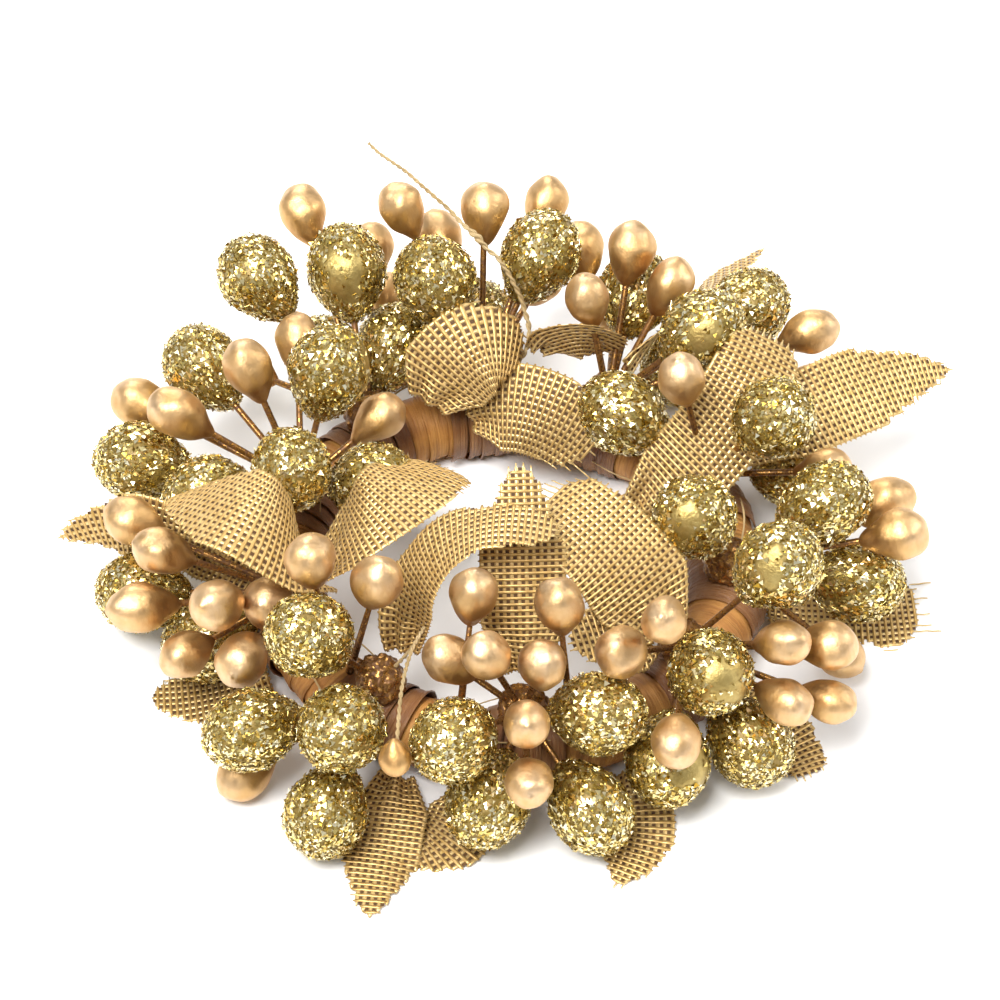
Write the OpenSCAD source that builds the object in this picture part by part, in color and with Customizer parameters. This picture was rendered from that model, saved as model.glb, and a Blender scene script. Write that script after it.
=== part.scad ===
// Small berry wreath: ten sprays of wire-stemmed berries and mesh ribbon leaves bound on a fibre ring.
// Frame: +Z up, origin at the middle of the ring on the table, -Y towards the front.
// Every place is written [angle round the wreath, reach from its middle, height above the table].

/* [Ring] */
// Radius from the wreath's middle to the middle of the ring's section
ring_radius = 30; // [29:0.5:31]
// Thickness of the fibre-wrapped ring
ring_thick = 10; // [9:0.5:10.5]
// Thickness of the wire hoop inside the ring
hoop_wire = 1.6; // [1:0.1:2.4]

/* [Berries] */
// Diameter of a glitter berry
glitter_d = 12; // [10:0.5:12]
// Length of a glitter berry from its neck to its far end
glitter_len = 13.4; // [12.5:0.1:14]
// Diameter of a pearl berry
pearl_d = 7.2; // [6:0.2:7.4]
// Length of a pearl berry from its neck to its far end
pearl_len = 9.2; // [8:0.2:9.6]
// Diameter of a wrapped wire stem
stem_d = 0.9; // [0.6:0.1:1]

/* [Ribbon and twine] */
// Thickness of the mesh ribbon
ribbon_thick = 0.4; // [0.3:0.1:0.5]
// Diameter of the twine
twine_d = 0.9; // [0.6:0.1:1.1]

/* [Hidden] */
GLITTER_NECK = 3.1;   // radius of the narrow end of a glitter berry
PEARL_NECK = 0.9;     // radius of the narrow end of a pearl berry
SEAT = 2;             // how far a stem reaches into its berry
RING_DROP = 0.3;      // how much of the ring's underside the table has flattened
BIND_GAP = 0.1;       // clearance under a binding
BIND_WALL = 0.6;      // thickness of a bast binding
BIND_SPAN = 17;       // how much of the ring one binding covers, in degrees
WRAP_R = 3.6;         // radius of the tape wrap that gathers the feet of one spray's stems
WRAP_SINK = 0.4;      // share of that radius between the binding and the wrap's middle
STEM_START = 3;       // how far from the wrap's middle its stems are first seen apart
LEAF_STEPS = 14;      // lengths that a ribbon leaf is divided into
TUBE_SIDES = 8;       // flats round the twine
ROUND = 48;           // fineness of the round solids

ring_z = ring_thick / 2 - RING_DROP;
bind_r = ring_thick / 2 + BIND_GAP + BIND_WALL;
root_z = ring_z + bind_r + WRAP_SINK * WRAP_R;

// Where each spray is bound, in degrees round the wreath
SPRAY_AT = [130, 97, 62, 24, 352, 321, 274, 236, 198, 160];
BACK_LEFT = 0;
BACK = 1;
BACK_RIGHT = 2;
RIGHT_BACK = 3;
RIGHT = 4;
RIGHT_FRONT = 5;
FRONT = 6;
LEFT_FRONT = 7;
LEFT = 8;
LEFT_BACK = 9;

// Middles of the glitter berries, one row for each spray
GLITTER = [
    [[133, 50, 25], [120, 44.5, 24], [115.5, 36.8, 14.7], [124, 46, 8]],
    [[105, 37, 25], [84, 41, 25], [95, 44, 9]],
    [[67, 46, 16], [45, 37, 25], [48, 49.5, 19], [57, 44.5, 7]],
    [[45, 23.5, 18.5], [14, 36.5, 26], [22, 43, 8]],
    [[346, 26, 23], [359, 42, 19.5], [354, 47, 9]],
    [[332, 39.5, 27], [313, 38.5, 18], [316, 44, 7], [301, 41, 9]],
    [[261, 41, 19], [267, 41, 8], [288, 36, 16.5], [284, 43, 7]],
    [[229, 38, 25], [226, 47, 13.1], [240.5, 42.5, 17.5], [241, 48, 6.5]],
    [[186.5, 49.2, 7.5], [199, 41.8, 7.5]],
    [[148, 49, 18], [143, 30.5, 25], [166, 51, 14], [173, 40, 15.5], [175, 29, 23], [163, 19.5, 17]],
];

// Middles of the pearl berries, one row for each spray
PEARL = [
    [[121, 55, 27], [112, 51, 20], [110, 51, 10], [137, 49, 10]],
    [[108, 46.5, 31], [101, 48, 22], [94, 45.5, 29.5], [84, 51, 25.5], [85, 50, 11]],
    [[77.5, 48.5, 19.5], [67, 44, 26], [70, 33, 26], [58, 42, 24], [37, 52, 20], [72, 50, 7]],
    [[27, 26.5, 30], [32, 49, 14], [13, 44, 15], [33, 45, 5]],
    [[5, 50.5, 14], [356, 52, 17], [343, 46, 5]],
    [
        [303, 37, 31], [323, 44, 21.5], [330, 48, 18], [319, 47, 15.5],
        [326.5, 50, 11.5], [299, 45, 18], [296, 34.5, 25],
    ],
    [[257, 31, 22], [266, 34, 27], [277.5, 33.5, 24.5], [273.5, 40.5, 22], [273.5, 45.5, 17]],
    [[225, 48, 4]],
    [
        [182, 49.5, 17], [192, 46, 20], [198, 50, 16], [209.8, 43, 23.3],
        [206.6, 46.8, 13.3], [215, 42, 16], [209.1, 35.6, 19.1],
    ],
    [[153, 39, 26], [137, 39.5, 22], [163, 46, 22], [156.5, 54.5, 15.5], [136, 25, 17]],
];

// Free-standing pearls that are posed by bending their stems: [middle of the pearl, foot of its stem]
POSABLE = [
    [[220, 33, 31], [218, 30, 10]],
    [[235, 29.5, 30], [226, 30, 10]],
    [[260, 25.5, 28.5], [258, 30, 10]],
    [[284, 28, 29], [286, 30, 10]],
];

// Mesh ribbon leaves: [foot, pulled towards, tip, width, roll at the foot, roll at the tip, tip width]
LEAVES = [
    [[60, 33.5, 15], [58, 47, 19], [54, 62, 18], 10, 80, 28, 0.1],
    [[19.5, 18.5, 9.5], [18, 34.5, 25], [33.6, 43.2, 27], 12, -35, -25, 0.9],
    [[24, 34, 14.5], [24, 52, 22], [25, 68, 15.5], 12, -10, -30, 0.1],
    [[115, 26, 14], [100, 27, 26.5], [86, 29, 18.5], 13, -45, -40, 0.5],
    [[103, 24.5, 11.5], [84, 23.5, 17], [57, 22, 11], 12, -45, -50, 0.8],
    [[82, 31, 17], [72, 31, 23], [63, 34, 18], 10, 70, 70, 0.6],
    [[199, 27, 15], [203, 16, 32], [146.5, 10.8, 20], 13, 20, 0, 0.85],
    [[204, 27, 16.5], [208, 36, 41], [183, 45, 23], 14, 10, 0, 0.2],
    [[187, 34.5, 8], [179, 48, 18], [177, 61, 9], 10, 80, 70, 0.1],
    [[206, 35.6, 1.8], [204, 44, 0.4], [201, 51, 0.4], 10, 0, 0, 0.3],
    [[238, 26, 14.5], [226, 20, 36], [290, 18, 33], 10, 20, 0, 0.5],
    [[275, 25.5, 14], [277, 18, 28], [282, 8, 35], 11, 0, 0, 0.3],
    [[317, 29, 16], [315, 19, 30], [309, 9, 28], 14, 20, 0, 0.8],
    [[317, 26.5, 13], [305, 26, 18], [290, 25, 18], 10, 30, 20, 0.4],
    [[356, 35.6, 1.8], [357, 47, 0.4], [358, 56, 0.4], 15, 0, 0, 0.75],
    [[327, 35.6, 1.8], [326, 46, 0.4], [322, 51, 0.4], 10, 0, 0, 0.5],
    [[296, 35.6, 1.8], [294, 46, 0.4], [286, 51.5, 0.4], 10, 0, 0, 0.2],
    [[263, 35.6, 1.8], [262, 44, 0.4], [254, 47.5, 0.4], 10, 0, 0, 0.2],
    [[246, 35.6, 1.8], [249, 46, 1.2], [252, 57.5, 0.4], 10, 0, 0, 0.2],
];

// Route of the loose twine end, from under the berries past its knot to its free end
TWINE_ROUTE = [
    [-1, 29.5, 13.5], [0.5, 29.5, 15], [2, 30, 16.5], [3, 31, 18.5], [3, 32.5, 20.5], [2.5, 33.5, 22],
    [2, 34.5, 23.5], [1, 35.5, 25.5], [0, 36.5, 27], [-1, 37, 28.5], [-1.5, 37.5, 29], [-2.5, 38, 29.5],
    [-4, 39, 31], [-6, 40.5, 32], [-8, 42.5, 33], [-10, 44.5, 33.5], [-12, 47, 33.5], [-14, 49.5, 33.5],
    [-16, 52, 33], [-18, 54.5, 32.5], [-19.5, 57, 32],
];
KNOT_AT = 10;         // which point of the route is knotted
KNOT_SWELL = 1.9;     // how many times thicker the knot is than the twine

// Thread of the small hanging bead, and the bead's middle
THREAD_ROUTE = [
    [-15, -25, 14.5], [-12.5, -24.5, 18], [-11, -24.5, 21.5], [-11, -26.5, 24],
    [-12.5, -31, 24.5], [-13.5, -37, 24.5], [-14, -42.8, 21.6],
];
BEAD_AT = [-14.3, -44.5, 20];
BEAD_D = 4.6;
THREAD_D = 0.5;

// ---- places, berries and stems ----

function place(p) = [p[1] * cos(p[0]), p[1] * sin(p[0]), p[2]];
function root(s) = place([SPRAY_AT[s], ring_radius, root_z]);
function unit(v) = v / norm(v);

// A berry is [its middle, direction of its axis, wide radius, narrow radius, distance between the two]
function berry(p, foot, wide, narrow, length) =
    [place(p), unit(place(p) - foot), wide, narrow, length - wide - narrow];
function glitter_berry(p, foot) = berry(p, foot, glitter_d / 2, GLITTER_NECK, glitter_len);
function pearl_berry(p, foot) = berry(p, foot, pearl_d / 2, PEARL_NECK, pearl_len);
function wide_centre(b) = b[0] + b[1] * (b[4] + b[3] - b[2]) / 2;
function neck_end(b) = wide_centre(b) - b[1] * (b[4] + b[3]);

GLITTER_BERRIES = [for (s = [0:9]) [for (p = GLITTER[s]) glitter_berry(p, root(s))]];
PEARL_BERRIES = [for (s = [0:9]) [for (p = PEARL[s]) pearl_berry(p, root(s))]];
POSABLE_BERRIES = [for (q = POSABLE) pearl_berry(q[0], place(q[1]))];

// Turns the children's +Z to the direction v and moves them to the point at
module aim(at, v) translate(at) rotate([0, acos(v[2]), atan2(v[1], v[0])]) children();

// Egg: a wide ball, a narrow ball and the cone that touches both
module egg(b) {
    lean = asin((b[2] - b[3]) / b[4]);
    aim(wide_centre(b), b[1]) union() {
        sphere(r = b[2], $fn = ROUND);
        translate([0, 0, -b[4]]) sphere(r = b[3], $fn = ROUND);
        translate([0, 0, -b[4] - b[3] * sin(lean)])
            cylinder(
                h = b[4] - (b[2] - b[3]) * sin(lean),
                r1 = b[3] * cos(lean), r2 = b[2] * cos(lean), $fn = ROUND
            );
    }
}

module rod(a, b, d) aim(a, unit(b - a)) cylinder(h = norm(b - a), d = d, $fn = 24);

// Wire from a foot into the seat of its berry
module stem_to(b, foot) rod(foot, neck_end(b) + b[1] * SEAT, stem_d);

module glitter_berries(s) color("#a8893c") for (b = GLITTER_BERRIES[s]) egg(b);
module pearls(s) color("#c79a5b") for (b = PEARL_BERRIES[s]) egg(b);

// Wrapped wire stems of one spray, from the tape wrap at its foot to inside each berry
module stems(s) color("#7a4a22") for (b = concat(GLITTER_BERRIES[s], PEARL_BERRIES[s]))
    stem_to(b, root(s) + b[1] * STEM_START);

// A pearl that stands free on its own wire, which bends where it leaves the ring
module posable_pearl(i) color("#c79a5b") {
    egg(POSABLE_BERRIES[i]);
    stem_to(POSABLE_BERRIES[i], place(POSABLE[i][1]));
}

// ---- ring ----

module wire_hoop() color("#6b6b66") translate([0, 0, ring_z])
    rotate_extrude($fn = 96) translate([ring_radius, 0]) circle(d = hoop_wire, $fn = 32);

// Bast-wrapped ring round the hoop, flat underneath where it stands
module fibre_ring() color("#b98d52") difference() {
    translate([0, 0, ring_z]) rotate_extrude($fn = 96) translate([ring_radius, 0]) difference() {
        circle(d = ring_thick, $fn = 64);
        circle(d = hoop_wire + 0.02, $fn = 32);
    }
    translate([0, 0, -ring_thick]) cylinder(h = ring_thick, r = 2 * ring_radius, $fn = 64);
}

// Turns of bast that bind each spray's foot to the ring
module bast_bindings() color("#9a6a34") difference() {
    translate([0, 0, ring_z]) for (a = SPRAY_AT) rotate([0, 0, a - BIND_SPAN / 2])
        rotate_extrude(angle = BIND_SPAN, $fn = 96) translate([ring_radius, 0]) difference() {
            circle(r = bind_r, $fn = 64);
            circle(r = bind_r - BIND_WALL, $fn = 64);
        }
    translate([0, 0, -ring_thick]) cylinder(h = ring_thick, r = 2 * ring_radius, $fn = 64);
}

// Tape wrap that gathers each spray's stems, seated on its binding
module stem_wraps() color("#6e4524") for (s = [0:9]) difference() {
    translate(root(s)) sphere(r = WRAP_R, $fn = ROUND);
    translate([0, 0, ring_z]) rotate_extrude($fn = 96) translate([ring_radius, 0])
        circle(r = bind_r + BIND_GAP, $fn = 64);
}

// ---- twine ----

function direction(route, i) =
    unit(route[min(i + 1, len(route) - 1)] - route[max(i - 1, 0)]);
function ring_points(c, v, r) =
    let (side = unit(cross(v, [0, 0, 1])), up = cross(side, v))
    [
        for (k = [0:TUBE_SIDES - 1])
            let (turn = 360 * k / TUBE_SIDES) c + r * (cos(turn) * side + sin(turn) * up),
    ];

// Tube swept along a route, swollen at the point knot, with both ends closed
module tube(route, d, knot = -1) {
    n = len(route);
    points = [
        for (i = [0:n - 1])
            each ring_points(route[i], direction(route, i), d / 2 * (i == knot ? KNOT_SWELL : 1)),
    ];
    walls = [
        for (i = [0:n - 2]) for (k = [0:TUBE_SIDES - 1])
            let (a = i * TUBE_SIDES, m = (k + 1) % TUBE_SIDES)
            each [[a + k, a + m, a + TUBE_SIDES + m], [a + k, a + TUBE_SIDES + m, a + TUBE_SIDES + k]],
    ];
    first = [for (k = [TUBE_SIDES - 1:-1:0]) k];
    last = [for (k = [0:TUBE_SIDES - 1]) (n - 1) * TUBE_SIDES + k];
    polyhedron(points, concat(walls, [first, last]), convexity = 6);
}

module twine_tail() color("#d8c08a") tube(TWINE_ROUTE, twine_d, KNOT_AT);
module bead_thread() color("#b98d52") tube(THREAD_ROUTE, THREAD_D);
module thread_bead() color("#c79a5b") translate(BEAD_AT) sphere(d = BEAD_D, $fn = ROUND);

// ---- ribbon leaves ----

function along(l, t) =
    (1 - t) * (1 - t) * place(l[0]) + 2 * t * (1 - t) * place(l[1]) + t * t * place(l[2]);
function heading(l, t) = unit((1 - t) * (place(l[1]) - place(l[0])) + t * (place(l[2]) - place(l[1])));
// Full width from 25% to 60% of the length, gathered at the foot and cut to a point at the tip
function spread(t, tip) = t < 0.25 ? 0.45 + 2.2 * t : t < 0.6 ? 1 : 1 - (1 - tip) * (t - 0.6) / 0.4;
function leaf_ring(l, t) =
    let (
        v = heading(l, t),
        flat = unit(cross(v, [0, 0, 1])),
        up = cross(flat, v),
        roll = l[4] + (l[5] - l[4]) * t,
        side = cos(roll) * flat + sin(roll) * up,
        face = cross(side, v),
        w = side * l[3] * spread(t, l[6]) / 2,
        h = face * ribbon_thick / 2,
        c = along(l, t)
    )
    [c - w - h, c + w - h, c + w + h, c - w + h];

module leaf(i) color("#d9b974") {
    points = [for (k = [0:LEAF_STEPS]) each leaf_ring(LEAVES[i], k / LEAF_STEPS)];
    walls = [
        for (k = [0:LEAF_STEPS - 1]) for (m = [0:3])
            let (a = 4 * k, n = (m + 1) % 4)
            each m < 2 ? [[a + m, a + n, a + 4 + n], [a + m, a + 4 + n, a + 4 + m]]
                : [[a + m, a + n, a + 4 + m], [a + n, a + 4 + n, a + 4 + m]],
    ];
    z = 4 * LEAF_STEPS;
    ends = [[2, 1, 0], [3, 2, 0], [z, z + 1, z + 2], [z, z + 2, z + 3]];
    polyhedron(points, concat(walls, ends), convexity = 6);
}

// ---- named pieces ----

module back_left_glitter_berries() glitter_berries(BACK_LEFT);
module back_left_pearls() pearls(BACK_LEFT);
module back_left_stems() stems(BACK_LEFT);
module back_glitter_berries() glitter_berries(BACK);
module back_pearls() pearls(BACK);
module back_stems() stems(BACK);
module back_right_glitter_berries() glitter_berries(BACK_RIGHT);
module back_right_pearls() pearls(BACK_RIGHT);
module back_right_stems() stems(BACK_RIGHT);
module right_back_glitter_berries() glitter_berries(RIGHT_BACK);
module right_back_pearls() pearls(RIGHT_BACK);
module right_back_stems() stems(RIGHT_BACK);
module right_glitter_berries() glitter_berries(RIGHT);
module right_pearls() pearls(RIGHT);
module right_stems() stems(RIGHT);
module right_front_glitter_berries() glitter_berries(RIGHT_FRONT);
module right_front_pearls() pearls(RIGHT_FRONT);
module right_front_stems() stems(RIGHT_FRONT);
module front_glitter_berries() glitter_berries(FRONT);
module front_pearls() pearls(FRONT);
module front_stems() stems(FRONT);
module left_front_glitter_berries() glitter_berries(LEFT_FRONT);
module left_front_pearls() pearls(LEFT_FRONT);
module left_front_stems() stems(LEFT_FRONT);
module left_glitter_berries() glitter_berries(LEFT);
module left_pearls() pearls(LEFT);
module left_stems() stems(LEFT);
module left_back_glitter_berries() glitter_berries(LEFT_BACK);
module left_back_pearls() pearls(LEFT_BACK);
module left_back_stems() stems(LEFT_BACK);
module posable_pearl_1() posable_pearl(0);
module posable_pearl_2() posable_pearl(1);
module posable_pearl_3() posable_pearl(2);
module posable_pearl_4() posable_pearl(3);
module leaf_back_right_tip() leaf(0);
module leaf_right_fold() leaf(1);
module leaf_right_long() leaf(2);
module leaf_back_fold() leaf(3);
module leaf_back_frayed() leaf(4);
module leaf_back_narrow() leaf(5);
module leaf_left_inner() leaf(6);
module leaf_left_broad() leaf(7);
module leaf_left_long() leaf(8);
module leaf_left_low() leaf(9);
module leaf_front_curl() leaf(10);
module leaf_front_upright() leaf(11);
module leaf_front_right_broad() leaf(12);
module leaf_front_right_inner() leaf(13);
module leaf_right_frayed() leaf(14);
module leaf_right_low() leaf(15);
module leaf_front_right_low() leaf(16);
module leaf_front_left_low() leaf(17);
module leaf_left_front_low() leaf(18);

wire_hoop();
fibre_ring();
bast_bindings();
stem_wraps();
twine_tail();
bead_thread();
thread_bead();
back_left_glitter_berries();
back_left_pearls();
back_left_stems();
back_glitter_berries();
back_pearls();
back_stems();
back_right_glitter_berries();
back_right_pearls();
back_right_stems();
right_back_glitter_berries();
right_back_pearls();
right_back_stems();
right_glitter_berries();
right_pearls();
right_stems();
right_front_glitter_berries();
right_front_pearls();
right_front_stems();
front_glitter_berries();
front_pearls();
front_stems();
left_front_glitter_berries();
left_front_pearls();
left_front_stems();
left_glitter_berries();
left_pearls();
left_stems();
left_back_glitter_berries();
left_back_pearls();
left_back_stems();
posable_pearl_1();
posable_pearl_2();
posable_pearl_3();
posable_pearl_4();
leaf_back_right_tip();
leaf_right_fold();
leaf_right_long();
leaf_back_fold();
leaf_back_frayed();
leaf_back_narrow();
leaf_left_inner();
leaf_left_broad();
leaf_left_long();
leaf_left_low();
leaf_front_curl();
leaf_front_upright();
leaf_front_right_broad();
leaf_front_right_inner();
leaf_right_frayed();
leaf_right_low();
leaf_front_right_low();
leaf_front_left_low();
leaf_left_front_low();
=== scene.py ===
"""A small gold berry wreath: glitter berries, satin pearls and mesh ribbon leaves on a bast-wound ring.

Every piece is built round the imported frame, in metres. Berries take their places from the frame's own
solids. Ribbon leaves and the loose twine repeat the routes that the frame was drawn with.
"""

import logging
import math
import random
from dataclasses import dataclass, field
from enum import Enum

import bmesh
import bpy
import numpy as np
from mathutils import Matrix, Quaternion, Vector, noise


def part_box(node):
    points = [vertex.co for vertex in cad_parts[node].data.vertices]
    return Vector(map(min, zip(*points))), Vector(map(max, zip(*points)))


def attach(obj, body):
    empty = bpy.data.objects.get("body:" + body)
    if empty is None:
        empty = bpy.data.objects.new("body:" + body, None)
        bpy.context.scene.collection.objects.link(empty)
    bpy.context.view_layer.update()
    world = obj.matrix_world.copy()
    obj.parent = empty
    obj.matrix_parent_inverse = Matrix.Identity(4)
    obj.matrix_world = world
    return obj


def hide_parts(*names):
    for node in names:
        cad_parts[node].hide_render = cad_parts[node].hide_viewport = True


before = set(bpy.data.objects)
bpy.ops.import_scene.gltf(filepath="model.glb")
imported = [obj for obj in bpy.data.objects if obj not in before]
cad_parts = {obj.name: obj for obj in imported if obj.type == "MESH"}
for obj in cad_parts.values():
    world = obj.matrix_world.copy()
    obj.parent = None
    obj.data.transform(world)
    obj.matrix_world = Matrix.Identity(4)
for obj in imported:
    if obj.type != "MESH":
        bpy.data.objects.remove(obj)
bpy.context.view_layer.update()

Triple = tuple[float, float, float]

LOG = logging.getLogger("wreath")
MM = 0.001
ROOT = "wreath"
EVEN = (1.0, 1.0, 1.0)
UPWARD = Vector((0.0, 0.0, 1.0))

# The ring, in millimetres, and the share of it that a binding covers, in degrees.
RING_RADIUS = 30.0
RING_HEIGHT = 4.7
RING_SECTION = 5.0
BINDING_SECTION = 5.7
BINDING_SPAN = 17.0

# Radius of a berry's wide end in the frame, and the gap that joins loose triangles, in millimetres.
GLITTER_WIDE = 6.0
PEARL_WIDE = 3.6
MERGE_GAP = 0.002

# Each spray's angle round the wreath, in degrees.
SPRAYS = {
    "back_left": 130,
    "back": 97,
    "back_right": 62,
    "right_back": 24,
    "right": 352,
    "right_front": 321,
    "front": 274,
    "left_front": 236,
    "left": 198,
    "left_back": 160,
}


class Slot(Enum):
    """The record's material slots."""

    GLITTER = "glitter_crust"
    SATIN = "satin_gold"
    RIBBON = "gold_mesh_ribbon"
    FIBRE = "wound_fibre"
    BAST = "bast_strip"
    TAPE = "wrapped_stem"
    STRAW = "straw_twine"
    WIRE = "hoop_wire"


# ---- small geometry helpers ----


def place(polar: Triple) -> Vector:
    """Turns a place on the wreath into a point.

    Args:
        polar: Angle round the wreath in degrees, reach and height in millimetres.

    Returns:
        The point in millimetres.
    """
    angle = math.radians(polar[0])
    return Vector((polar[1] * math.cos(angle), polar[1] * math.sin(angle), polar[2]))


def lump(point: Vector, size: float, seed: int) -> float:
    """Smooth noise from -1 to 1 at a point in millimetres, with features of about the size given."""
    return noise.noise(point / size + Vector((seed * 7.3, seed * 3.1, seed * 5.7)))


def finished(bm: bmesh.types.BMesh, name: str, materials: list[bpy.types.Material]) -> bpy.types.Object:
    """Turns a bmesh drawn in millimetres into an object in metres.

    Args:
        bm: The shape, which is freed.
        name: The piece's name.
        materials: Its finishes, in the order of the faces' material numbers.

    Returns:
        The new object, linked to the scene.
    """
    bmesh.ops.scale(bm, vec=(MM, MM, MM), verts=bm.verts)
    mesh = bpy.data.meshes.new(name)
    bm.to_mesh(mesh)
    bm.free()
    for material in materials:
        mesh.materials.append(material)
    piece = bpy.data.objects.new(name, mesh)
    bpy.context.scene.collection.objects.link(piece)
    return piece


def smooth(bm: bmesh.types.BMesh) -> None:
    """Shades every face of a bmesh smooth."""
    for face in bm.faces:
        face.smooth = True


def entered(piece: bpy.types.Object, body: str, nodes: list[str]) -> bpy.types.Object:
    """Attaches a piece to its body's empty, hides the frame's nodes that it stands for, and reports it.

    Args:
        piece: The new piece.
        body: The body that it rides on.
        nodes: The frame's nodes that it stands for.

    Returns:
        The same piece.
    """
    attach(piece, body)
    if nodes:
        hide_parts(*nodes)
    LOG.info("%s: %d faces", piece.name, len(piece.data.polygons))
    return piece


def dress(node: str, material: bpy.types.Material) -> None:
    """Gives one of the frame's own parts a finish."""
    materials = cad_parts[node].data.materials
    materials.clear()
    materials.append(material)


# ---- shader building ----

# The grain noise's own settings, and the part of a texture's range that fills the mask.
GRAIN_DETAIL = 5.0
GRAIN_ROUGHNESS = 0.6
MASK_RANGE = (0.3, 0.7)


class Shader:
    """A material's node tree, with short calls for the nodes that the finishes use.

    Attributes:
        MIX_INPUTS: Where a Mix node keeps the factor and the two colours.
        MIX_OUTPUT: Where it keeps the mixed colour.
    """

    MIX_INPUTS = (0, 6, 7)
    MIX_OUTPUT = 2

    def __init__(self, name: str) -> None:
        """Starts a material with one Principled shader."""
        self.material = bpy.data.materials.new(name)
        self.material.use_nodes = True
        self.tree = self.material.node_tree
        self.surface = self.tree.nodes["Principled BSDF"]

    def node(self, kind: str, **settings: object) -> bpy.types.Node:
        """Adds a node and sets its plain properties.

        Args:
            kind: The node's type.
            settings: Its properties by name.

        Returns:
            The node.
        """
        made = self.tree.nodes.new(kind)
        for key, value in settings.items():
            setattr(made, key, value)
        return made

    def join(self, source: bpy.types.NodeSocket, target: bpy.types.NodeSocket) -> None:
        """Links one socket to another."""
        self.tree.links.new(source, target)

    def set(self, **values: object) -> None:
        """Sets constants straight on the Principled shader, with _ for a space in a socket's name."""
        for key, value in values.items():
            self.surface.inputs[key.replace("_", " ")].default_value = value

    def mask(
        self, name: str, scale: float, stretch: Triple = EVEN, source: str = "Object"
    ) -> bpy.types.NodeSocket:
        """Places one of the shared effect groups.

        Args:
            name: Which group to place.
            scale: How many features there are in a metre.
            stretch: Scale along each axis of the coordinates.
            source: Object for the object's own coordinates, or the name of the piece's UV map.

        Returns:
            The group's mask.
        """
        group = self.node("ShaderNodeGroup", node_tree=effect(name))
        mapping = self.node("ShaderNodeMapping")
        mapping.inputs["Scale"].default_value = stretch
        if source == "Object":
            self.join(self.node("ShaderNodeTexCoord").outputs["Object"], mapping.inputs["Vector"])
        else:
            self.join(self.node("ShaderNodeUVMap", uv_map=source).outputs["UV"], mapping.inputs["Vector"])
        self.join(mapping.outputs["Vector"], group.inputs["Vector"])
        group.inputs["Scale"].default_value = scale
        return group.outputs["Mask"]

    def blend(self, mask: bpy.types.NodeSocket, low: object, high: object) -> bpy.types.NodeSocket:
        """Mixes two colours by a mask.

        Args:
            mask: The mask, from 0 to 1.
            low: A colour or a socket, for a mask of 0.
            high: A colour or a socket, for a mask of 1.

        Returns:
            The mixed colour.
        """
        mix = self.node("ShaderNodeMix", data_type="RGBA")
        factor, first, second = (mix.inputs[index] for index in self.MIX_INPUTS)
        self.join(mask, factor)
        for socket, colour in ((first, low), (second, high)):
            if isinstance(colour, tuple):
                socket.default_value = (*colour, 1.0)
            else:
                self.join(colour, socket)
        return mix.outputs[self.MIX_OUTPUT]

    def between(self, mask: bpy.types.NodeSocket, low: float, high: float) -> bpy.types.NodeSocket:
        """Maps a mask on to a range of values.

        Args:
            mask: The mask, from 0 to 1.
            low: The value for a mask of 0.
            high: The value for a mask of 1.

        Returns:
            The value.
        """
        spread = self.node("ShaderNodeMapRange")
        self.join(mask, spread.inputs["Value"])
        spread.inputs["To Min"].default_value = low
        spread.inputs["To Max"].default_value = high
        return spread.outputs["Result"]

    def ramp(self, value: bpy.types.NodeSocket, stops: list[tuple[float, Triple]]) -> bpy.types.NodeSocket:
        """Turns a value into a colour.

        Args:
            value: The value, from 0 to 1.
            stops: The first, middle and last stop, each a place from 0 to 1 and its colour.

        Returns:
            The colour.
        """
        node = self.node("ShaderNodeValToRGB")
        first, middle, last = stops
        for element, (spot, colour) in zip(node.color_ramp.elements, (first, last)):
            element.position = spot
            element.color = (*colour, 1.0)
        node.color_ramp.elements.new(middle[0]).color = (*middle[1], 1.0)
        self.join(value, node.inputs["Fac"])
        return node.outputs["Color"]

    def attribute(self, name: str) -> bpy.types.NodeSocket:
        """Reads a value that the piece's own mesh holds."""
        return self.node("ShaderNodeAttribute", attribute_name=name).outputs["Fac"]

    def bump(self, height: bpy.types.NodeSocket, depth: float, strength: float) -> None:
        """Raises the surface by a height mask.

        Args:
            height: The mask.
            depth: How far a mask of 1 raises the surface, in metres.
            strength: How much of the bump shows, from 0 to 1.
        """
        bump = self.node("ShaderNodeBump")
        bump.inputs["Distance"].default_value = depth
        bump.inputs["Strength"].default_value = strength
        self.join(height, bump.inputs["Height"])
        self.join(bump.outputs["Normal"], self.surface.inputs["Normal"])


def effect(name: str) -> bpy.types.NodeTree:
    """The shared effect groups: grain, a soft cloudy mask, and speckle, a mask of separate flakes.

    Args:
        name: grain or speckle.

    Returns:
        The group, built the first time that it is asked for.
    """
    if name in bpy.data.node_groups:
        return bpy.data.node_groups[name]
    group = bpy.data.node_groups.new(name, "ShaderNodeTree")
    group.interface.new_socket(name="Vector", in_out="INPUT", socket_type="NodeSocketVector")
    group.interface.new_socket(name="Scale", in_out="INPUT", socket_type="NodeSocketFloat")
    group.interface.new_socket(name="Mask", in_out="OUTPUT", socket_type="NodeSocketFloat")
    entry = group.nodes.new("NodeGroupInput")
    leave = group.nodes.new("NodeGroupOutput")
    if name == "grain":
        texture = group.nodes.new("ShaderNodeTexNoise")
        texture.inputs["Detail"].default_value = GRAIN_DETAIL
        texture.inputs["Roughness"].default_value = GRAIN_ROUGHNESS
        value = texture.outputs["Fac"]
    else:
        texture = group.nodes.new("ShaderNodeTexVoronoi")
        value = texture.outputs["Color"]
    group.links.new(entry.outputs["Vector"], texture.inputs["Vector"])
    group.links.new(entry.outputs["Scale"], texture.inputs["Scale"])
    spread = group.nodes.new("ShaderNodeMapRange")
    spread.inputs["From Min"].default_value = MASK_RANGE[0]
    spread.inputs["From Max"].default_value = MASK_RANGE[1]
    group.links.new(value, spread.inputs["Value"])
    group.links.new(spread.outputs["Result"], leave.inputs["Mask"])
    return group


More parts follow.
